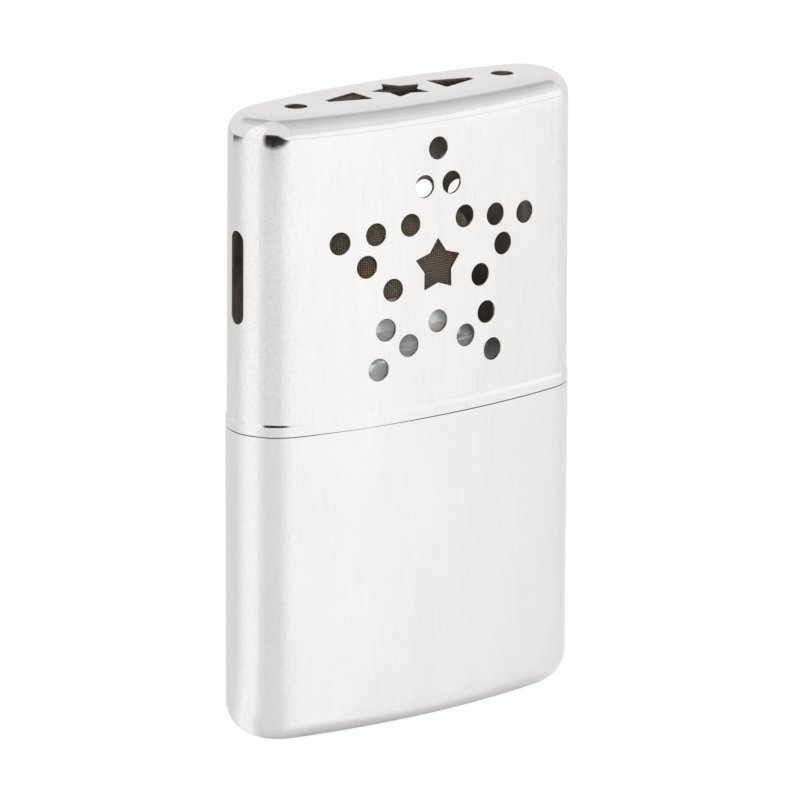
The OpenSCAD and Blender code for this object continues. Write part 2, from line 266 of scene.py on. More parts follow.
class Shade:
    """A socket of a material's tree. A formula written with it adds its Math nodes."""

    def __init__(self, tree, socket=None):
        self.tree, self.socket = tree, socket

    def node(self, kind, settings=None, links=None, out=0):
        """Adds a node, makes its settings, then fills its sockets, and returns one output."""
        made = self.tree.nodes.new("ShaderNode" + kind)
        for name, value in (settings or {}).items():
            if name == "stops":
                while len(made.color_ramp.elements) < len(value):
                    made.color_ramp.elements.new(0.5)
                for stop, (place, colour) in zip(made.color_ramp.elements, value):
                    stop.position, stop.color = place, (*colour, 1)
            else:
                setattr(made, name, value)
        for name, value in (links or {}).items():
            if isinstance(value, Shade):
                self.tree.links.new(value.socket, made.inputs[name])
            else:
                made.inputs[name].default_value = value
        return Shade(self.tree, made.outputs[out])

    def math(self, operation, *values):
        return self.node("Math", {"operation": operation}, dict(enumerate(values)))

    def __add__(self, other):
        return self.math("ADD", self, other)

    def __sub__(self, other):
        return self.math("SUBTRACT", self, other)

    def __rsub__(self, other):
        return self.math("SUBTRACT", other, self)

    def __mul__(self, other):
        return self.math("MULTIPLY", self, other)

    __radd__ = __add__
    __rmul__ = __mul__

    def between(self, low, high):
        """0 below low, 1 above high, and a smooth step from one to the other."""
        return self.node("MapRange", {"interpolation_type": "SMOOTHSTEP"},
                         {"Value": self, "From Min": low, "From Max": high})

    def noise(self, size, detail=3.0, stretch=(1, 1, 1), roughness=0.5):
        """Noise whose lumps are about size millimetres, drawn out along each axis by stretch."""
        place = self.node("Mapping", None, {"Vector": self,
                                            "Scale": [1 / (size * mm * s) for s in stretch]})
        return self.node("TexNoise", None, {"Vector": place, "Scale": 1.0, "Detail": detail,
                                            "Roughness": roughness})

    def mix(self, dark, light):
        """Colour from dark to light as this socket goes from 0 to 1."""
        rgba = [c if isinstance(c, Shade) else (*c, 1) for c in (dark, light)]
        return self.node("Mix", {"data_type": "RGBA"}, {0: self, 6: rgba[0], 7: rgba[1]}, out=2)


def new_finish(name):
    """A material with its Principled shader, and the object's own coordinates to start from."""
    finish = bpy.data.materials.new(name)
    finish.use_nodes = True
    tree = finish.node_tree
    shader = tree.nodes["Principled BSDF"]
    return finish, shader, Shade(tree).node("TexCoord", out=3)


def feed(shader, **values):
    """Puts numbers, colours or worked-out sockets into a shader's inputs."""
    for name, value in values.items():
        socket = shader.inputs[name.replace("_", " ")]
        if isinstance(value, Shade):
            value.tree.links.new(value.socket, socket)
        else:
            socket.default_value = value


def plated(name, colour, dull, roughness, wander, wave, grain, inner=None, metal=1.0, scuff=0):
    """Nickel plate over drawn sheet. Its gloss wanders in soft patches drawn out along the
    polishing, fine rubbing marks roughen it, and the sheet under it is never quite flat.
    The round ends, which rub in the pocket, are scuffed with small dull specks. Where a
    piece has an inner face, that colour, duller, takes over by the inside mark. Where the
    same mark falls on the lid's crease and on the walls of its holes, that colour is painted
    shade."""
    finish, shader, place = new_finish(name)
    patches = place.noise(9, 4, (1, 1, 2.2))
    rubbed = place.noise(0.55, 3, (1, 1, 7), 0.6)
    specks = place.noise(0.16, 2)
    tone = patches.between(0.3, 0.75) * 0.6 + rubbed.between(0.35, 0.75) * 0.4
    base = tone.mix(dull, colour)
    gloss = roughness + (patches - 0.5) * wander + (rubbed - 0.5) * wander
    if scuff:
        sideways = place.node("SeparateXYZ", None, {0: place})
        at_ends = sideways.math("ABSOLUTE", sideways).between(0.023, 0.029)
        pits = place.noise(0.42, 3, (1, 1, 1.5), 0.7).between(0.42, 0.62)
        lines = place.noise(1.3, 4, (1, 1, 6), 0.65).between(0.5, 0.7)
        worn = pits * (at_ends * 0.8 + 0.2) + lines * 0.4
        base = (worn * scuff).mix(base, (0.45, 0.44, 0.44))
    if inner:
        # The inside colour is the real browned inner face, and painted shade where the mark falls
        # on the crease and on the holes' walls.
        inside = place.node("Attribute", {"attribute_name": "inside"}, out=2)
        soot_and_painted_shade = place.noise(5, 5).between(0.3, 0.7).mix(inner, [c * 1.3 for c in inner])
        base = inside.mix(base, soot_and_painted_shade)
        gloss = gloss + inside * 0.16
    height = place.noise(14, 2, (1, 1, 1.6)) * wave + rubbed * grain + specks * (grain * 0.6)
    bump = place.node("Bump", None, {"Strength": 1.0, "Distance": mm, "Height": height})
    feed(shader, Base_Color=base, Metallic=metal, Roughness=gloss, Normal=bump)
    return finish


case_plate = plated("case_plate", (0.91, 0.897, 0.888), (0.86, 0.847, 0.84), 0.17, 0.12, 0.02,
                    0.003, scuff=0.07)


def box_mm(node):
    """The lowest and highest corner of a CAD node, in millimetres."""
    return [np.array(corner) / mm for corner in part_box(node)]


case_along = stations(case_marks, 72, 40)


def round_case(inset):
    """The case's plan at its stations."""
    return case_plan(np.broadcast_to(case_along, (len(inset), len(case_along))), inset)


tank = Sheet()
mouth_z = seam_z - seam_gap
tank_flat_in = bottom_r + hair
tank_path = rounded_profile([
    (tank_flat_in, 0, 0), (0, 0, bottom_r - hair), (0, mouth_z, tank_rim_r),
    (tank_wall, mouth_z, tank_rim_r), (tank_wall, tank_wall, bottom_r - tank_wall - hair),
    (tank_flat_in, tank_wall, 0)], steps=14)
tank.carry(round_case, tank_path)
tank.close(round_case, tank_flat_in, 0, -1)
tank.close(round_case, tank_flat_in, tank_wall, 1)
tank_cup = tank.make("tank_cup", case_plate)
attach(tank_cup, "tank")
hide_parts("tank_shell")


# -------------------------------------------------------------- lid collar
# The band inside the seam that the lid slides over: 0.4 mm sheet, joggled inwards
# at the seam, its lower half soldered inside the tank's mouth. Bright plate.
collar_bottom_z, collar_top_z = (corner[2] for corner in box_mm("lid_collar"))
collar_low_in = 0.55
collar_up_in = 0.88
collar_sheet = 0.4
collar_end_r = 0.1
collar_bend_r = 0.3
collar_lip_r = 0.16
collar_step = collar_up_in - collar_low_in

inner_plate = plated("inner_plate", (0.9, 0.9, 0.905), (0.84, 0.84, 0.85), 0.2, 0.08, 0.006,
                     0.0008, metal=0.45)


def drawn_ring(name, plan, corners, finish, steps=5):
    """A piece whose whole section is one closed path, carried round its plan."""
    form = Sheet()
    form.carry(plan, rounded_profile(corners, steps, closed=True), closed=True)
    return form.make(name, finish)


collar_band = drawn_ring("collar_band", round_case, [
    (collar_low_in, collar_bottom_z, collar_end_r),
    (collar_low_in, seam_z - collar_step, collar_bend_r), (collar_up_in, seam_z, collar_bend_r),
    (collar_up_in, collar_top_z, collar_lip_r),
    (collar_up_in + collar_sheet, collar_top_z, collar_lip_r),
    (collar_up_in + collar_sheet, seam_z, collar_bend_r),
    (collar_low_in + collar_sheet, seam_z - collar_step, collar_bend_r),
    (collar_low_in + collar_sheet, collar_bottom_z, collar_end_r)], inner_plate)
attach(collar_band, "tank")
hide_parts("lid_collar")


# ---------------------------------------------------------------- tank top
# A shallow tray pressed from 0.5 mm sheet, its edge turned down inside the
# collar. An oval seat stands up in its middle to carry the filler neck.
flange_bottom_z, seat_z = (corner[2] for corner in box_mm("tank_top"))
tray_z = collar_top_z
tray_sheet = 0.5
tray_in = 1.33
tray_edge_r = 1.1
seat_length = 33.6
seat_width = 15.6
seat_edge_r = 1.5
seat_foot_r = 0.4
seat_ledge = 2.75
cut_edge_r = 0.12
seat_lip_r = 0.15


def oval_parts(length, width):
    """An oval's radius, half its straight, and how far along it each part begins, from the
    middle of the front: two straights joined by half circles."""
    radius, straight = width / 2, (length - width) / 2
    bend = math.pi * radius
    return radius, straight, np.cumsum([0, straight, bend, 2 * straight, bend, straight])


def oval_plan(along, length, width, inset):
    """Point and outward normal on an oval, at a distance along it. Both the normal's angle
    and the centre that the radius is measured from run evenly along each part."""
    radius, straight, marks = oval_parts(length, width)
    angle = np.interp(along, marks, np.radians([-90, -90, 90, 90, 270, 270]))
    centre = np.interp(along, marks, [0, straight, straight, -straight, -straight, 0])
    normal = np.stack([np.cos(angle), np.sin(angle)], axis=-1)
    point = (radius - inset)[..., None] * normal
    point[..., 0] += centre
    return point, normal


def round_oval(length, width, straight_steps=14, bend_steps=36):
    """A plan function for one oval, with stations on its straights and its half circles."""
    along = stations(oval_parts(length, width)[2], straight_steps, bend_steps)

    def plan(inset):
        shape = (len(inset), len(along))
        return oval_plan(np.broadcast_to(along, shape), length, width,
                         np.broadcast_to(inset, shape))
    return plan


def within(points, loop):
    """Which points lie inside a closed loop: a line to the right crosses it an odd number
    of times."""
    ax, ay = loop[:, 0], loop[:, 1]
    bx, by = np.roll(ax, -1), np.roll(ay, -1)
    x, y = points[:, :1], points[:, 1:2]
    spans = (ay > y) != (by > y)
    crossing = ax + (y - ay) * (bx - ax) / np.where(by == ay, 1e-12, by - ay)
    return (spans & (x < crossing)).sum(axis=1) % 2 == 1


def filled(outline, holes, inner_points, clear):
    """Triangles that fill an outline and leave its holes open. The inner points are used
    where they stand clear of every edge."""
    edges = np.concatenate([outline, *holes])
    near = np.array([np.min(np.hypot(*(edges - p).T)) for p in inner_points])
    use = (near > clear) & within(inner_points, outline)
    for hole in holes:
        use &= ~within(inner_points, hole)
    corners = np.concatenate([edges, inner_points[use]])
    links, first = [], 0
    for loop in [outline, *holes]:
        number = first + np.arange(len(loop))
        links += np.stack([number, np.roll(number, -1)], axis=1).tolist()
        first += len(loop)
    corners, _, triangles, *_ = delaunay_2d_cdt([Vector(p) for p in corners], links, [], 0,
                                                1e-7)
    corners, triangles = np.array([tuple(c) for c in corners]), np.array(triangles)
    middle = corners[triangles].mean(axis=1)
    keep = within(middle, outline)
    for hole in holes:
        keep &= ~within(middle, hole)
    return corners, triangles[keep]


def even_points(low, high, step):
    """A grid of points between two corners."""
    u = np.arange(low[0] + step / 2, high[0], step)
    v = np.arange(low[1] + step / 2, high[1], step)
    return np.stack(np.meshgrid(u, v), axis=-1).reshape(-1, 2)


tray = Sheet()
tray_flat_in = tray_in + tray_edge_r + hair
tray.carry(round_case, rounded_profile([
    (tray_flat_in, tray_z - tray_sheet, 0), (tray_in + tray_sheet, tray_z - tray_sheet,
                                             tray_edge_r - tray_sheet),
    (tray_in + tray_sheet, flange_bottom_z, cut_edge_r), (tray_in, flange_bottom_z, cut_edge_r),
    (tray_in, tray_z, tray_edge_r), (tray_flat_in, tray_z, 0)], steps=8))
round_seat = round_oval(seat_length, seat_width)
foot_in = -seat_foot_r - hair
tray.carry(round_seat, rounded_profile([
    (foot_in, tray_z, 0), (0, tray_z, seat_foot_r), (0, seat_z, seat_edge_r),
    (seat_ledge, seat_z, seat_lip_r), (seat_ledge, seat_z - tray_sheet, seat_lip_r),
    (tray_sheet, seat_z - tray_sheet, seat_edge_r - tray_sheet),
    (tray_sheet, tray_z - tray_sheet, seat_foot_r + tray_sheet),
    (foot_in, tray_z - tray_sheet, 0)], steps=8))
tray_outline = round_case(np.array([[tray_flat_in]]))[0][0]
tray_hole = round_seat(np.array([[foot_in]]))[0][0]
for tray_height, tray_up in ((tray_z, 1.0), (tray_z - tray_sheet, -1.0)):
    tray.level(tray_outline, [tray_hole], 2, 0.8, tray_height, tray_up)
tray_piece = tray.make("tank_top_tray", inner_plate)
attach(tray_piece, "tank")
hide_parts("tank_top")


# ------------------------------------------------------------- filler neck
# An oval tube drawn from 0.4 mm sheet. Its small flange is soldered to the seat,
# its spigot reaches down into the tank, and the burner's skirt slips over it.
neck_bottom_z, neck_top_z = (corner[2] for corner in box_mm("filler_neck"))
neck_length = 28
neck_width = 10
neck_sheet = 0.4
neck_flange = 1
neck_root_r = 0.6
flange_edge_r = 0.2
mouth_edge_r = 0.14

neck_tube = drawn_ring("filler_neck_tube", round_oval(neck_length, neck_width), [
    (0, neck_bottom_z, cut_edge_r), (0, seat_z, hair), (-neck_flange, seat_z, hair),
    (-neck_flange, seat_z + neck_sheet, flange_edge_r), (0, seat_z + neck_sheet, neck_root_r),
    (0, neck_top_z, mouth_edge_r), (neck_sheet, neck_top_z, mouth_edge_r),
    (neck_sheet, neck_bottom_z, cut_edge_r)], inner_plate, steps=7)
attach(neck_tube, "tank")
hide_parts("filler_neck")


# ---------------------------------------------------------- cotton wadding
# Loose bleached cotton, packed into the tank by hand so that it takes the tank's
# shape. Its surface is lumpy and creased where one tuft lies against the next.
wad_low, wad_high = box_mm("cotton_wadding")
wad_in = 0.8
wad_top_in = 2.13
wad_waist_z = 48.2
wad_edge_r = 1.2
wad_shoulder_r = 0.9
wad_nook_r = 0.3
wad_lumps = 0.55
pad_hair = 0.05


def finer(profile, step):
    """The same profile with more rows, about a step apart."""
    reach = np.concatenate([[0], np.cumsum(np.hypot(*np.diff(profile[:, :2], axis=0).T))])
    places = np.linspace(0, reach[-1], int(reach[-1] / step) + 2)
    rows = np.stack([np.interp(places, reach, profile[:, i]) for i in range(4)], axis=1)
    rows[:, 2:] /= np.linalg.norm(rows[:, 2:], axis=1, keepdims=True)
    return rows


def tufts(points, size, seed, layers=3):
    """Soft lumps from 0 to 1 for points in millimetres: the folded size of summed sine
    waves in random directions, so that creases run between the tufts."""
    draw = np.random.default_rng(seed)
    total = np.zeros(len(points))
    for layer in range(layers):
        waves = draw.normal(size=(6, 3)) * 2 * math.pi / (size / 1.9 ** layer)
        start = draw.uniform(0, 2 * math.pi, 6)
        total += np.abs(np.sin(points @ waves.T + start).mean(axis=1)) / 1.7 ** layer
    return np.clip(total * 1.2, 0, 1)


def fibrous(name, bright, dark, fuzz, fibre=0.3):
    """Matted fibres: tone drifts from tuft to tuft, and crossing fine fibres stand up."""
    finish, shader, place = new_finish(name)
    drift = place.noise(5, 4)
    lengthwise = place.noise(fibre, 3, (1, 5, 1), 0.7)
    crosswise = place.noise(fibre, 3, (5, 1, 2), 0.7)
    tone = drift.between(0.3, 0.7) * 0.6 + lengthwise.between(0.3, 0.7) * 0.4
    bump = place.node("Bump", None, {"Strength": 0.8, "Distance": mm,
                                     "Height": (lengthwise + crosswise) * fuzz})
    feed(shader, Base_Color=tone.mix(dark, bright), Roughness=0.95, Normal=bump)
    feed(shader, Specular_IOR_Level=0.2, Sheen_Weight=0.3)
    return finish


def padded_piece(name, plan, profile, ends, step, lumps, size, seed, finish):
    """A stuffed form: a profile carried round its plan and closed at both ends, then
    pressed in between its tufts, always inside its own space."""
    form = Sheet()
    form.carry(plan, finer(profile, step))
    for inset, height, up in ends:
        form.close(plan, inset, height, up, steps=7)
    form.points = [p - n * (lumps * (1 - tufts(p, size, seed)))[:, None]
                   for p, n in zip(form.points, form.normals)]
    return form.make(name, finish, own_normals=False)


cotton = fibrous("cotton_wool", (0.92, 0.90, 0.85), (0.78, 0.75, 0.68), 0.10)
wad_flat_in = bottom_r + pad_hair
wad_top_flat_in = wad_top_in + wad_edge_r + pad_hair
cotton_pack = padded_piece(
    "cotton_pack", round_case,
    rounded_profile([(wad_flat_in, wad_low[2], 0), (wad_in, wad_low[2], bottom_r - wad_in),
                     (wad_in, wad_waist_z, wad_shoulder_r), (wad_top_in, wad_waist_z, wad_nook_r),
                     (wad_top_in, wad_high[2], wad_edge_r), (wad_top_flat_in, wad_high[2], 0)],
                    steps=10),
    [(wad_flat_in, wad_low[2], -1.0), (wad_top_flat_in, wad_high[2], 1.0)],
    step=0.8, lumps=wad_lumps, size=11, seed=4, finish=cotton)
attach(cotton_pack, "tank")
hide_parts("cotton_wadding")


# ---------------------------------------------------------------- fuel pad
# A felted pad of cotton in the filler's mouth, which passes the fuel down to the
# wadding and keeps loose fibre out of the burner.
pad_low, pad_high = box_mm("fuel_pad")
pad_edge_r = 0.9
pad_lumps = 0.3

felt = fibrous("felted_cotton", (0.88, 0.85, 0.78), (0.70, 0.66, 0.58), 0.07, 0.2)
pad_in = neck_length / 2 - pad_high[0]
pad_flat_in = pad_in + pad_edge_r + pad_hair
felt_pad = padded_piece(
    "felt_pad", round_oval(neck_length, neck_width, 26, 40),
    rounded_profile([(pad_flat_in, pad_low[2], 0), (pad_in, pad_low[2], pad_edge_r),
                     (pad_in, pad_high[2], pad_edge_r), (pad_flat_in, pad_high[2], 0)], steps=6),
    [(pad_flat_in, pad_low[2], -1.0), (pad_flat_in, pad_high[2], 1.0)],
    step=0.3, lumps=pad_lumps, size=3.5, seed=7, finish=felt)
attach(felt_pad, "tank")
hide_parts("fuel_pad")


# ------------------------------------------------------------ burner skirt
# A drawn oval cap of bright plate that slips over the neck. Its top is turned in
# to a lip, which holds down the hem of the gauze.
skirt_low, skirt_high = box_mm("burner_skirt")
skirt_length, skirt_width = 2 * skirt_high[0], 2 * skirt_high[1]
skirt_sheet = 0.4
skirt_edge_r = 0.8
skirt_lip = 1

round_skirt = round_oval(skirt_length, skirt_width)
skirt_cap = drawn_ring("burner_skirt_cap", round_skirt, [
    (0, skirt_low[2], mouth_edge_r), (0, skirt_high[2], skirt_edge_r),
    (skirt_lip, skirt_high[2], mouth_edge_r),
    (skirt_lip, skirt_high[2] - skirt_sheet, mouth_edge_r),
    (skirt_sheet, skirt_high[2] - skirt_sheet, skirt_edge_r - skirt_sheet),
    (skirt_sheet, skirt_low[2], mouth_edge_r)], inner_plate, steps=8)
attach(skirt_cap, "burner")
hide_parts("burner_skirt")


# ------------------------------------------------------------- gauze clamp
# A flat oval ring stamped from bare steel, pressed up into the skirt under the
# grid. It has the blue and straw tints that the heat leaves.
clamp_low, clamp_high = box_mm("gauze_clamp")
clamp_in = skirt_high[0] - clamp_high[0]
clamp_width = 1.5
clamp_edge_r = 0.1


def bare_steel(name, pale, dark, tint):
    """Bare pressed steel: dull, drawn out one way by the rolling, and tinted by heat."""
    finish, shader, place = new_finish(name)
    rolled = place.noise(0.3, 4, (14, 1, 1), 0.6)
    heat = place.noise(6, 3)
    base = heat.between(0.45, 0.75).mix(rolled.between(0.3, 0.7).mix(dark, pale), tint)
    bump = place.node("Bump", None, {"Strength": 1.0, "Distance": mm, "Height": rolled * 0.004})
    feed(shader, Base_Color=base, Metallic=1.0, Roughness=0.34 + (heat - 0.5) * 0.2, Normal=bump)
    return finish


ring_steel = bare_steel("heat_tinted_steel", (0.60, 0.58, 0.56), (0.42, 0.40, 0.38),
                        (0.50, 0.42, 0.30))
clamp_ring = drawn_ring("gauze_clamp_ring", round_skirt, [
    (inset, height, clamp_edge_r) for inset, height in (
        (clamp_in, clamp_low[2]), (clamp_in, clamp_high[2]),
        (clamp_in + clamp_width, clamp_high[2]), (clamp_in + clamp_width, clamp_low[2]))],
    ring_steel, steps=4)
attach(clamp_ring, "burner")
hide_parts("gauze_clamp")


# ---------------------------------------------------------------- mat grid
# A thin steel plate punched with rows of small holes. It carries the catalyst mat
# and lets the fuel's vapour through.
grid_low, grid_high = box_mm("mat_grid")
grid_in = skirt_high[0] - grid_high[0]
grid_sheet = grid_high[2] - grid_low[2]
grid_hole_r = 0.8
grid_pitch = 2.4
grid_across = 4
grid_deep = 1
grid_edge_r = 0.08
grid_punch_r = 0.06
grid_burr_r = 0.05


def punched(sheet, outline, away, place, thickness, outer_r, inner_r):
    """Adds the edge of a punched hole. Across the sheet it runs from the outer face round
    an arc of outer_r, straight through, and round an arc of inner_r to the inner face. Away
    is the way from the hole into the metal, and place puts a point of the flat pattern on
    the piece at a depth, with its normal and its two flat directions."""
    turn = np.radians([0, 30, 60, 90])
    shift = np.concatenate([outer_r * (1 - np.sin(turn)), inner_r * (1 - np.cos(turn))])
    depth = np.concatenate([outer_r * (1 - np.cos(turn)),
                            thickness - inner_r * (1 - np.sin(turn))])
    facing_out = np.concatenate([np.cos(turn), -np.sin(turn)])
    facing_hole = np.concatenate([np.sin(turn), np.cos(turn)])
    flat = outline + away * shift[:, None, None]
    shape = flat.shape[:2]
    points, normal, along_u, along_v = place(flat[..., 0], flat[..., 1],
                                             np.broadcast_to(depth[:, None], shape))
    side = away[:, :1] * along_u + away[:, 1:] * along_v
    normals = facing_out[:, None, None] * normal - facing_hole[:, None, None] * side
    # The mark gives the hole's inner round the inner face's own colour. It also lays that dark
    # colour on the hole's wall as painted shade.
    sheet.grid(points, normals, mark=np.broadcast_to(
        np.linspace(-1, 5, len(turn) * 2).clip(0, 1)[:, None], shape))
    return outline + away * outer_r, outline + away * inner_r


def circle(x, y, radius, steps=48):
    """A round hole's outline and the way from it into the metal."""
    turn = np.linspace(0, 2 * math.pi, steps, endpoint=False)
    away = np.stack([np.cos(turn), np.sin(turn)], axis=1)
    return np.array([x, y]) + radius * away, away


def level_place(top):
    """A place function for the flat sheet whose upper face is at a height."""
    def place(u, v, depth):
        one = np.ones_like(u)[..., None]
        return (np.stack([u, v, top - depth], axis=-1), one * [0, 0, 1], one * [1, 0, 0],
                one * [0, 1, 0])
    return place


grid = Sheet()
grid_rings = [punched(grid, *circle(i * grid_pitch, j * grid_pitch, grid_hole_r, 24),
                      level_place(grid_high[2]), grid_sheet, grid_punch_r, grid_burr_r)
              for i in range(-grid_across, grid_across + 1)
              for j in range(-grid_deep, grid_deep + 1)]
grid_flat_in = grid_in + grid_edge_r + hair
grid.carry(round_skirt, rounded_profile([
    (grid_flat_in, grid_low[2], 0), (grid_in, grid_low[2], grid_edge_r),
    (grid_in, grid_high[2], grid_edge_r), (grid_flat_in, grid_high[2], 0)], steps=4))
grid_outline = round_skirt(np.array([[grid_flat_in]]))[0][0]
for face, (grid_height, grid_up) in enumerate(((grid_high[2], 1.0), (grid_low[2], -1.0))):
    grid.level(grid_outline, [rings[face] for rings in grid_rings], 1.2, 0.4, grid_height,
               grid_up)
grid_plate = grid.make("mat_grid_plate", ring_steel)
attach(grid_plate, "burner")
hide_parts("mat_grid")


# ------------------------------------------------------------ burner gauze
# A dome of fine wire gauze, browned by heat: 0.15 mm wires woven over and under,
# its hem spread flat under the skirt's lip. Wires run up the sides and over the
# top, and rings run round it. In the middle of the top both run straight.
gauze_low, gauze_high = box_mm("burner_gauze")
wire_r = 0.075
weave_lift = 0.07
gauze_half = wire_r + weave_lift
hem_play = 0.05
dome_in = skirt_lip + hem_play + gauze_half
dome_length, dome_width = skirt_length - 2 * dome_in, skirt_width - 2 * dome_in
dome_top_z = gauze_high[2] - gauze_half
dome_edge_r = 2.65
hem_z = gauze_low[2] + gauze_half
hem_root_r = 0.25
hem_reach = 0.5
uprights = 152

dome_r = dome_width / 2
dome_straight = (dome_length - dome_width) / 2
dome_round = 4 * dome_straight + 2 * math.pi * dome_r
upright_pitch = dome_round / uprights
dome_flat = dome_r - dome_edge_r
dome_path = rounded_profile([(dome_r, dome_top_z, 0), (0, dome_top_z, dome_edge_r),
                             (0, hem_z, hem_root_r), (-hem_reach, hem_z, 0)], steps=24)
dome_path[:, 2:] *= -1
dome_reach = np.concatenate([[0], np.cumsum(np.hypot(*np.diff(dome_path[:, :2], axis=0).T))])
ring_pitch = dome_reach[-1] / round(dome_reach[-1] / upright_pitch)


def on_dome(down):
    """Inset, height and normal of the gauze at a distance down from the middle of its top."""
    return [np.interp(down, dome_reach, dome_path[:, i]) for i in range(4)]


def wire(middle, facing, closed=False):
    """Adds a square-sided tube round a wire whose points and surface normals are given.
    Each corner stands at the wire's radius along the normal or across. An open wire is
    closed by a flat at each end."""
    if closed:
        way = np.roll(middle, -1, axis=0) - np.roll(middle, 1, axis=0)
    else:
        way = np.gradient(middle, axis=0)
    way /= np.linalg.norm(way, axis=1, keepdims=True)
    sideways = np.cross(way, facing)
    sideways /= np.linalg.norm(sideways, axis=1, keepdims=True)
    upwards = np.cross(sideways, way)
    tube = np.stack([middle + wire_r * (a * upwards + b * sideways)
                     for a, b in ((1, 0), (0, 1), (-1, 0), (0, -1))], axis=1)
    out = tube - middle[:, None]
    gauze.grid(tube, out, round_v=closed)
    if not closed:
        for end, before in ((0, 1), (-1, -2)):
            gauze.add(tube[end], out[end] + 1e-3 * (middle[end] - middle[before]),
                      [[[0, 1, 2, 3]]])


def level_wire(x, y, height):
    """Adds a wire of the dome's flat middle."""
    middle = np.column_stack(np.broadcast_arrays(x, y, height))
    wire(middle, np.broadcast_to([0.0, 0, 1], middle.shape))


gauze = Sheet()
down = np.arange(0, dome_reach[-1] + 1e-6, ring_pitch / 2)
for upright in range(uprights):
    (foot,), (outward,) = oval_plan(np.array([upright * upright_pitch]), dome_length,
                                    dome_width, np.array([0.0]))
    over_top = abs(outward[1]) > 1 - 1e-9
    if over_top and outward[1] > 0:
        continue
    run = np.concatenate([-down[:0:-1], down]) if over_top else down[down > dome_flat]
    inset, height, out, up = on_dome(np.abs(run))
    outs = np.sign(run)[:, None] * np.array([0, -1]) if over_top else np.broadcast_to(
        outward, (len(run), 2))
    start = np.array([foot[0], 0]) if over_top else foot - dome_r * outward
    weave = weave_lift * (-1) ** upright * np.cos(math.pi * np.abs(run) / ring_pitch)
    facing = np.column_stack([-out[:, None] * outs, up])
    middle = np.column_stack([start + (dome_r - inset)[:, None] * outs, height])
    wire(middle + weave[:, None] * facing, facing)
ring_along = np.arange(2 * uprights) * upright_pitch / 2
for ring in range(int(round(dome_reach[-1] / ring_pitch)) + 1):
    inset, height, out, up = (float(v) for v in on_dome(ring * ring_pitch))
    weave = -weave_lift * (-1) ** ring * np.cos(math.pi * ring_along / upright_pitch)
    if ring * ring_pitch > dome_flat:
        point, outward = oval_plan(ring_along, dome_length, dome_width,
                                   np.full(len(ring_along), inset))
        facing = np.column_stack([-out * outward, np.full(len(point), up)])
        middle = np.column_stack([point, np.full(len(point), height)])
        wire(middle + weave[:, None] * facing, facing, closed=True)
        continue
    reach = dome_straight + math.sqrt(max(dome_flat ** 2 - (ring * ring_pitch) ** 2, 0))
    x = np.arange(-math.floor(2 * reach / upright_pitch), 2 * reach / upright_pitch)
    weave = weave_lift * (-1) ** ring * np.cos(math.pi * x / 2)
    for side in ((1, -1) if ring else (1,)):
        level_wire(x * upright_pitch / 2, side * ring * ring_pitch, dome_top_z - weave)
for end in (1, -1):
    for step in range(1, int(dome_flat / upright_pitch) + 1):
        x = math.floor(dome_straight / upright_pitch) * upright_pitch + step * upright_pitch
        half = math.sqrt(max(dome_flat ** 2 - (x - dome_straight) ** 2, 0.04))
        y = np.linspace(-half, half, 2 * int(half / (ring_pitch / 2)) + 3)
        level_wire(end * x, y, dome_top_z)


def browned_wire(name):
    """Steel wire that has glowed many times: brown oxide, paler where it is rubbed, with
    grey soot in patches."""
    finish, shader, place = new_finish(name)
    patch = place.noise(3.5, 4)
    scale = place.noise(0.12, 3)
    brown = scale.between(0.3, 0.7).mix((0.37, 0.295, 0.23), (0.62, 0.51, 0.42))
    base = patch.between(0.45, 0.72).mix(brown, (0.44, 0.39, 0.34))
    bump = place.node("Bump", None, {"Strength": 0.7, "Distance": mm, "Height": scale * 0.02})
    feed(shader, Base_Color=base, Metallic=0.45, Roughness=0.42 + patch * 0.2, Normal=bump)
    return finish


gauze_dome = gauze.make("burner_gauze_weave", browned_wire("browned_wire"))
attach(gauze_dome, "burner")
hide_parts("burner_gauze")


# ------------------------------------------------------------ catalyst mat
# A pad of mineral fibre, black from its coating, that fills the gauze dome and
# rests on the grid.
mat_low, mat_high = box_mm("catalyst_mat")
mat_in = skirt_high[0] - mat_high[0]
mat_edge_r = 2.45
mat_foot_r = 0.4
mat_foot_in = mat_in + 0.5
mat_lumps = 0.25

mat_fibre = fibrous("coated_fibre", (0.11, 0.095, 0.085), (0.035, 0.03, 0.028), 0.08, 0.18)
mat_flat_in = mat_in + mat_edge_r + 0.02
fibre_mat = padded_piece(
    "catalyst_fibre_mat", round_oval(skirt_length, skirt_width, 30, 44),
    rounded_profile([(mat_foot_in, mat_low[2], 0), (mat_in, mat_low[2], mat_foot_r),
                     (mat_in, mat_high[2], mat_edge_r), (mat_flat_in, mat_high[2], 0)], steps=9),
    [(mat_foot_in, mat_low[2], -1.0), (mat_flat_in, mat_high[2], 1.0)],
    step=0.35, lumps=mat_lumps, size=2.6, seed=9, finish=mat_fibre)
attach(fibre_mat, "burner")
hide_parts("catalyst_mat")


# ---------------------------------------------------------------- lid shell
# The upper half of the case: a cup drawn from 0.5 mm sheet and pushed over the
# collar. A star of round holes is punched through each face, a long slot through
# each end, and a star, two wedges and two round holes through the top. A band
# is pressed out round its mouth. Inside it is bare and browned by the burner.
lid_low, lid_high = box_mm("lid_shell")
lid_top_z = lid_high[2]
lid_wall = 0.5
lid_top_r = 4
lid_side_in = 0.2
lid_draft = 0.23
rim_h = 2.1
rim_step_h = 0.8
rim_bend_r, rim_inner_r, rim_outer_r = 0.3, 0.16, 0.12
seam_shut, seam_shut_x, seam_shut_reach = 0.1, -15, 10
rim_top_z = seam_z + rim_h
wall_low_z = 57.1
wall_high_z = 103.6
wall_rows = 24
face_columns, end_columns = 52, 48
crease_below_top = 3.45
crease_low, crease_high = 0.1, 0.14
shoulder_in = 0.06
shoulder_drop = 1.65
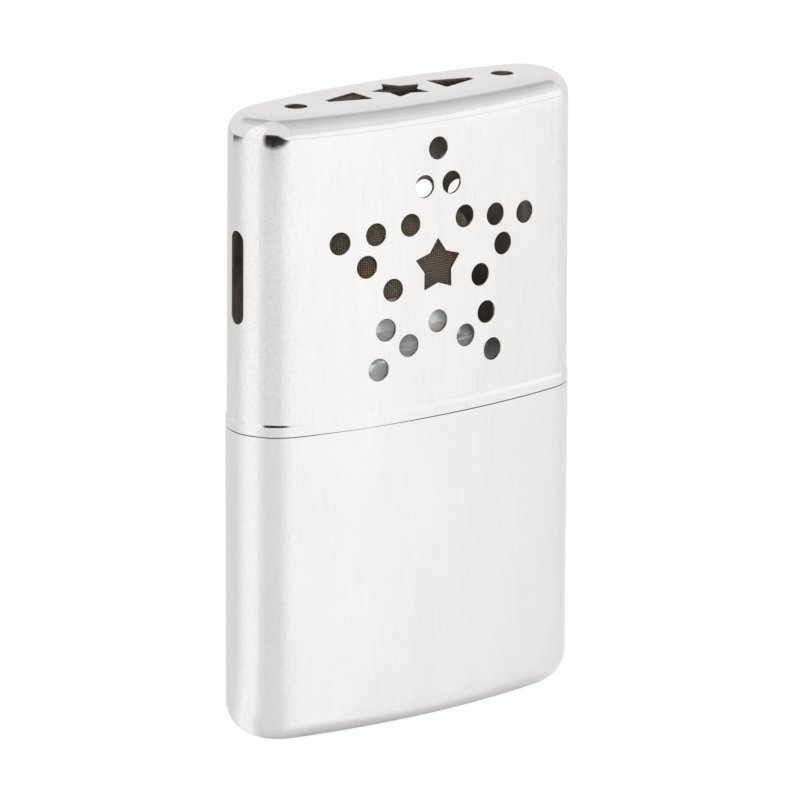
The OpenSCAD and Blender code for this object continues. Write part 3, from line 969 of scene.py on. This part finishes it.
# Painted shade: the share of the inner face's dark colour laid on the crease under the top round.
crease_painted_shade = 0.75
punch_r = 0.14
burr_r = 0.06
vent_r = 1.925
star_tip_r = 20.3
star_notch_r = 9.6
star_z = lid_top_z - 28.3
mid_star_tip_r, mid_star_notch_r = 4.8, 2.9
top_star_tip_r, top_star_notch_r = 5.3, 3.0
slot_width, slot_length = 3.6, 16
slot_z = lid_top_z - 27.7
top_hole_x, top_hole_r = 21.5, 1.9
wedge_near_x, wedge_far_x = 7.6, 15.1
wedge_wide, wedge_narrow = 6.0, 1.4
star_corner_r, wedge_corner_r = 0.14, 0.2

lean = lid_draft / (lid_top_z - lid_top_r - rim_top_z + lid_side_in)


def wall_inset(height):
    """How far the lid's outer face stands in from the case plan at a height."""
    return lid_side_in + lean * (height - rim_top_z + lid_side_in)


def wall_place(along, height, depth):
    """A point of the lid's side, by its distance along the case plan, its height and its
    depth under the outer face."""
    point, normal = case_plan(along, wall_inset(height) + depth)
    up = np.broadcast_to([0.0, 0, 1], (*point.shape[:-1], 3))
    out = np.concatenate([normal, np.full((*point.shape[:-1], 1), lean)], axis=-1)
    sideways = np.stack([-normal[..., 1], normal[..., 0], np.zeros(point.shape[:-1])], axis=-1)
    return np.concatenate([point, height[..., None]], axis=-1), out, sideways, up


def star_points(tip_r, notch_r):
    """Corners of a five-pointed star, tips and notches in turn from the tip that points up."""
    turn = np.radians(90 + 36 * np.arange(10))
    reach = np.where(np.arange(10) % 2, notch_r, tip_r)
    return np.stack([reach * np.cos(turn), reach * np.sin(turn)], axis=1)


def cut_outline(corners, radius, u=0.0, v=0.0, steps=5):
    """Outline of a cut with rounded corners, and the way from it into the metal."""
    rows = rounded_profile([(*corner, radius) for corner in corners], steps, closed=True)
    return rows[:, :2] + [u, v], -rows[:, 2:]


def slot_outline(u, v):
    """Outline of an upright slot with round ends."""
    half = slot_width / 2
    run = slot_length / 2
    return cut_outline([(half, -run), (half, run), (-half, run), (-half, -run)], half - hair, u,
                       v, steps=14)


lid_stations = stations(case_marks, 26, 48)


def round_lid(inset):
    """The lid's plan at its stations."""
    return case_plan(np.broadcast_to(lid_stations, (len(inset), len(lid_stations))), inset)


star_corners = star_points(star_tip_r, star_notch_r)
star_centres = np.concatenate([star_corners, (star_corners + np.roll(star_corners, -1,
                                                                     axis=0)) / 2])
lid = Sheet()
wall_heights = np.linspace(wall_low_z, wall_high_z, wall_rows)
for part, begin in enumerate([-face_half_length, face_half_length,
                              face_half_length + end_length,
                              3 * face_half_length + end_length]):
    is_face = part % 2 == 0
    span = 2 * face_half_length if is_face else end_length
    middle_along = begin + span / 2
    if is_face:
        facing = 1 if part == 0 else -1
        bend = facing * face_r * np.arcsin(star_centres[:, 0] / (face_r - lid_side_in))
        cuts = [circle(middle_along + shift, star_z + drop, vent_r)
                for shift, drop in zip(bend, star_centres[:, 1])]
        cuts.append(cut_outline(star_points(mid_star_tip_r, mid_star_notch_r), star_corner_r,
                                middle_along, star_z))
    else:
        cuts = [slot_outline(middle_along, slot_z)]
    rings = [punched(lid, *cut, wall_place, lid_wall, punch_r, burr_r) for cut in cuts]
    columns = np.linspace(begin, begin + span, (face_columns if is_face else end_columns) + 1)
    sides = np.concatenate([
        np.stack([columns, np.full_like(columns, wall_low_z)], axis=1),
        np.stack([np.full(wall_rows - 2, columns[-1]), wall_heights[1:-1]], axis=1),
        np.stack([columns[::-1], np.full_like(columns, wall_high_z)], axis=1),
        np.stack([np.full(wall_rows - 2, columns[0]), wall_heights[-2:0:-1]], axis=1)])
    inner_points = np.stack(np.meshgrid(columns[1:-1], wall_heights[1:-1]),
                            axis=-1).reshape(-1, 2)
    for face, depth in ((0, 0.0), (1, lid_wall)):
        flat, triangles = filled(sides, [ring[face] for ring in rings], inner_points,
                                 clear=0.45)
        points, normals, _, _ = wall_place(flat[:, 0], flat[:, 1], np.full(len(flat), depth))
        lid.add(points, normals * (1 - 2 * face), [triangles], mark=float(face))

top_in = lid_side_in + lid_draft
top_flat_in = top_in + lid_top_r + hair
crease_z = lid_top_z - crease_below_top
share = np.linspace(0, 1, 9)
shoulder_tilt = np.arctan(2 * shoulder_in * share / shoulder_drop + lean)
shoulder = np.stack([wall_inset(wall_high_z) + shoulder_in * share ** 2,
                     crease_z - crease_low - shoulder_drop * (1 - share), -np.cos(shoulder_tilt),
                     np.sin(shoulder_tilt)], axis=1)
shoulder[0, 1] = wall_high_z
above_crease_z = crease_z + crease_high
turn = np.linspace(math.asin((above_crease_z - lid_top_z + lid_top_r) / lid_top_r), math.pi / 2,
                   22)
top_round = np.stack([top_in + lid_top_r * (1 - np.cos(turn)),
                      lid_top_z - lid_top_r * (1 - np.sin(turn)), -np.cos(turn),
                      np.sin(turn)], axis=1)
crease = shoulder[-1] + np.array([[0.15], [0.5], [0.85]]) * (top_round[0] - shoulder[-1])
# The crease's middle row takes that share of the inside mark, which makes a painted shade line
# under the top round.
lid.carry(round_lid, np.concatenate([shoulder, crease, top_round,
                                     [[top_flat_in, lid_top_z, 0, 1]]]),
          mark=np.concatenate([np.zeros(len(shoulder)), [0, crease_painted_shade, 0],
                               np.zeros(len(top_round) + 1)]))
lid.carry(round_lid, rounded_profile([
    (top_flat_in, lid_top_z - lid_wall, 0), (top_in + lid_wall, lid_top_z - lid_wall,
                                             lid_top_r - lid_wall),
    (wall_inset(wall_high_z) + lid_wall, wall_high_z, 0)], steps=12), mark=1.0)
rim_bottom_z = seam_z + seam_gap
share = np.linspace(0, 1, 11)
step_tilt = np.arctan(6 * lid_side_in / rim_step_h * share * (1 - share))
rim_step = np.stack([lid_side_in * share ** 2 * (3 - 2 * share),
                     rim_top_z + rim_step_h * (share - 0.7), -np.cos(step_tilt),
                     np.sin(step_tilt)], axis=1)
rim_path = np.concatenate([rounded_profile([
    (wall_inset(wall_low_z) + lid_wall, wall_low_z, 0),
    (lid_side_in + lid_wall, rim_top_z + 0.1, rim_bend_r),
    (lid_wall, rim_top_z - 0.2, rim_bend_r), (lid_wall, rim_bottom_z, rim_inner_r),
    (0, rim_bottom_z, rim_outer_r),
    (*rim_step[0, :2], 0)], steps=7)[:-1], rim_step,
    [[wall_inset(wall_low_z), wall_low_z, -1, lean]]])
lid.carry(round_lid, rim_path, mark=(rim_path[:, 2] > 0.5).astype(float))
rim = lid.points[-1]
rim[:, 2] -= np.where((rim[:, 2] < rim_bottom_z + 0.2) & (rim[:, 1] < 0), seam_shut * np.exp(
    -((rim[:, 0] - seam_shut_x) / seam_shut_reach) ** 2), 0)

wedge = [(wedge_near_x, -wedge_wide / 2), (wedge_far_x, -wedge_narrow / 2),
         (wedge_far_x, wedge_narrow / 2), (wedge_near_x, wedge_wide / 2)]
top_cuts = [circle(top_hole_x, 0, top_hole_r), circle(-top_hole_x, 0, top_hole_r),
            cut_outline(star_points(top_star_tip_r, top_star_notch_r), star_corner_r),
            cut_outline(wedge, wedge_corner_r),
            cut_outline([(-x, y) for x, y in wedge[::-1]], wedge_corner_r)]
top_rings = [punched(lid, *cut, level_place(lid_top_z), lid_wall, punch_r, burr_r)
             for cut in top_cuts]
top_outline = round_lid(np.array([[top_flat_in]]))[0][0]
for face, depth in ((0, 0.0), (1, lid_wall)):
    lid.level(top_outline, [ring[face] for ring in top_rings], 1.5, 0.5, lid_top_z - depth,
              1 - 2 * face, mark=float(face))

lid_plate = plated("lid_plate", (0.915, 0.895, 0.88), (0.865, 0.845, 0.832), 0.14, 0.12, 0.02,
                   0.009, inner=(0.5, 0.46, 0.42), scuff=0.12)
lid_cover = lid.make("lid_cover", lid_plate)
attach(lid_cover, "lid")
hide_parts("lid_shell")


# ------------------------------------------------------------- studio
# A pale floor and plain soft light under a white room. The plate's gloss sees the
# floor brighter or darker by its direction from the left end, but not close under
# the case, and it sees a few cards. They draw its soft bands and dark corners.
floor_half = 2.5
floor_share, floor_glow = 0.93, 1.015
mirror_share, mirror_dark, mirror_bright = 0.6, 0.67, 1.3
under_half_x, under_half_y = 0.036, 0.0128
overhead = 1.1
room_white, room_gloss, room_light = 1.0, 0.85, 0.55
floor_centre_x = -case_half_w * mm + end_r * mm
floor_round = [(-180, 0.95), (-172, 0.86), (-164, 0.5), (-152, 0.26), (-121, 0.32), (-106, 0.72),
               (-90, 0.9), (-66, 0.9), (-48, 0.76), (-30, 0.66), (-12, 0.5), (74, 0.24),
               (135, 0.34), (152, 0.72), (164, 0.95), (180, 0.95)]


def stage_mesh(name, corners, finish):
    """A flat stage piece, from its corners in metres."""
    mesh = bpy.data.meshes.new(name)
    mesh.from_pydata(corners, [], [list(range(len(corners)))])
    piece = bpy.data.objects.new(name, mesh)
    bpy.context.scene.collection.objects.link(piece)
    mesh.materials.append(finish)
    return piece


floor_finish, floor_shader, floor_place = new_finish("pale_floor")
feed(floor_shader, Base_Color=(0.86, 0.86, 0.86, 1), Roughness=0.9)
floor_tree = floor_finish.node_tree
at_x, at_y = (floor_place.node("SeparateXYZ", None, {0: floor_place}, out=i) for i in (0, 1))
around = at_y.math("ARCTAN2", at_y, at_x - floor_centre_x) * (0.5 / math.pi) + 0.5
whiter = around.node("ValToRGB", {"stops": [((az + 180) / 360, (tone,) * 3)
                                            for az, tone in floor_round]}, {0: around})


def glow(tree, strength):
    """Plain white light of its own."""
    return Shade(tree).node("Emission", None, {"Color": (1, 1, 1, 1), "Strength": strength})


seen = Shade(floor_tree).node("LightPath", out=0)
glossed = Shade(floor_tree).node("LightPath", out=3)
shown = seen.node("MixShader", None, {0: seen * floor_share,
                                      1: Shade(floor_tree, floor_shader.outputs[0]),
                                      2: glow(floor_tree, floor_glow)})
mirrored = whiter.node("MixShader", None, {0: whiter, 1: glow(floor_tree, mirror_dark),
                                           2: glow(floor_tree, mirror_bright)})
under_x, under_y = at_x * (1 / under_half_x), at_y * (1 / under_half_y)
under_x, under_y = under_x * under_x, under_y * under_y
clear = (under_x * under_x + under_y * under_y).between(0.2, 0.75)
blend = shown.node("MixShader", None, {0: glossed * clear * mirror_share, 1: shown,
                                       2: mirrored})
floor_tree.links.new(blend.socket, floor_tree.nodes["Material Output"].inputs["Surface"])
stage_mesh("floor", [(-floor_half, -floor_half, 0), (floor_half, -floor_half, 0),
                             (floor_half, floor_half, 0), (-floor_half, floor_half, 0)],
                   floor_finish)

world = bpy.data.worlds.new("room")
world.use_nodes = True
bpy.context.scene.world = world
room = Shade(world.node_tree)
plain_sight = room.node("LightPath", out=0) + room.node("LightPath", out=6)
strength = (room_light + plain_sight * (room_white - room_light)
            + room.node("LightPath", out=3) * (room_gloss - room_light))
back = world.node_tree.nodes["Background"]
back.inputs["Color"].default_value = (1, 1, 1, 1)
world.node_tree.links.new(strength.socket, back.inputs["Strength"])


def gloss_card(name, corners, strength):
    """A card that only glossy rays meet."""
    finish = bpy.data.materials.new(name)
    finish.use_nodes = True
    tree = finish.node_tree
    tree.links.new(glow(tree, strength).socket, tree.nodes["Material Output"].inputs["Surface"])
    card = stage_mesh(name, corners, finish)
    card.visible_camera = card.visible_diffuse = card.visible_shadow = False
    card.visible_transmission = card.visible_volume_scatter = False


def toward(directions, distance, start=(-0.031, -0.006, 0.105)):
    """Corners seen from a start in given directions, as pairs of azimuth and height in
    degrees, laid on the plane that the mean direction meets squarely at a distance."""
    az, el = np.radians(np.array(directions, float)).T
    rays = np.stack([np.cos(el) * np.cos(az), np.cos(el) * np.sin(az), np.sin(el)], axis=1)
    middle = rays.mean(axis=0)
    middle /= np.linalg.norm(middle)
    return (np.array(start) + rays * distance / (rays @ middle)[:, None]).tolist()


gloss_card("front_card", toward([(-110, -3), (-110, 13), (-5, 13), (-5, -3)], 0.9), 1.06)
gloss_card("left_card", toward([(155, -8), (155, 60), (198, 60), (198, -8)], 0.7), 1.05)
strips = [(0, -0.15, 1.5, 0.25, 0.55), (0, -0.5, 1.5, -0.15, 0.66), (0, -0.9, 1.5, -0.5, 0.75),
          (-0.3, 0.25, 0.05, 1.5, 0.55), (-0.6, 0.25, -0.3, 1.5, 0.68)]
for number, (x0, y0, x1, y1, tone) in enumerate(strips):
    gloss_card(f"overhead_strip_{number}", [(x0, y0, overhead), (x1, y0, overhead),
                                            (x1, y1, overhead), (x0, y1, overhead)], tone)
gloss_card("dark_card", toward([(-158, -9), (-158, 28), (-125, 28), (-109, 10), (-97, -5),
                                (-116, -10), (-138, -12.5)], 0.1), 0.02)
gloss_card("dark_edge", toward([(112, -11), (112, -5), (146, -3), (146, -7)], 0.1), 0.1)


def soft_lamp(name, place, size, watts):
    """A square soft box that looks at the middle of the case, from a place in metres."""
    data = bpy.data.lights.new(name, "AREA")
    data.energy, data.size = watts, size
    lamp = bpy.data.objects.new(name, data)
    lamp.location = place
    aim = Vector(look_at * mm) - Vector(place)
    lamp.rotation_mode = "QUATERNION"
    lamp.rotation_quaternion = aim.to_track_quat("-Z", "Y")
    lamp.visible_glossy = False
    bpy.context.scene.collection.objects.link(lamp)


soft_lamp("key_lamp", (-0.86, -1.17, 0.5), 0.4, 11)
soft_lamp("fill_lamp", (0.9, -0.5, 0.6), 0.9, 4)

bpy.context.scene.view_settings.view_transform = "Standard"
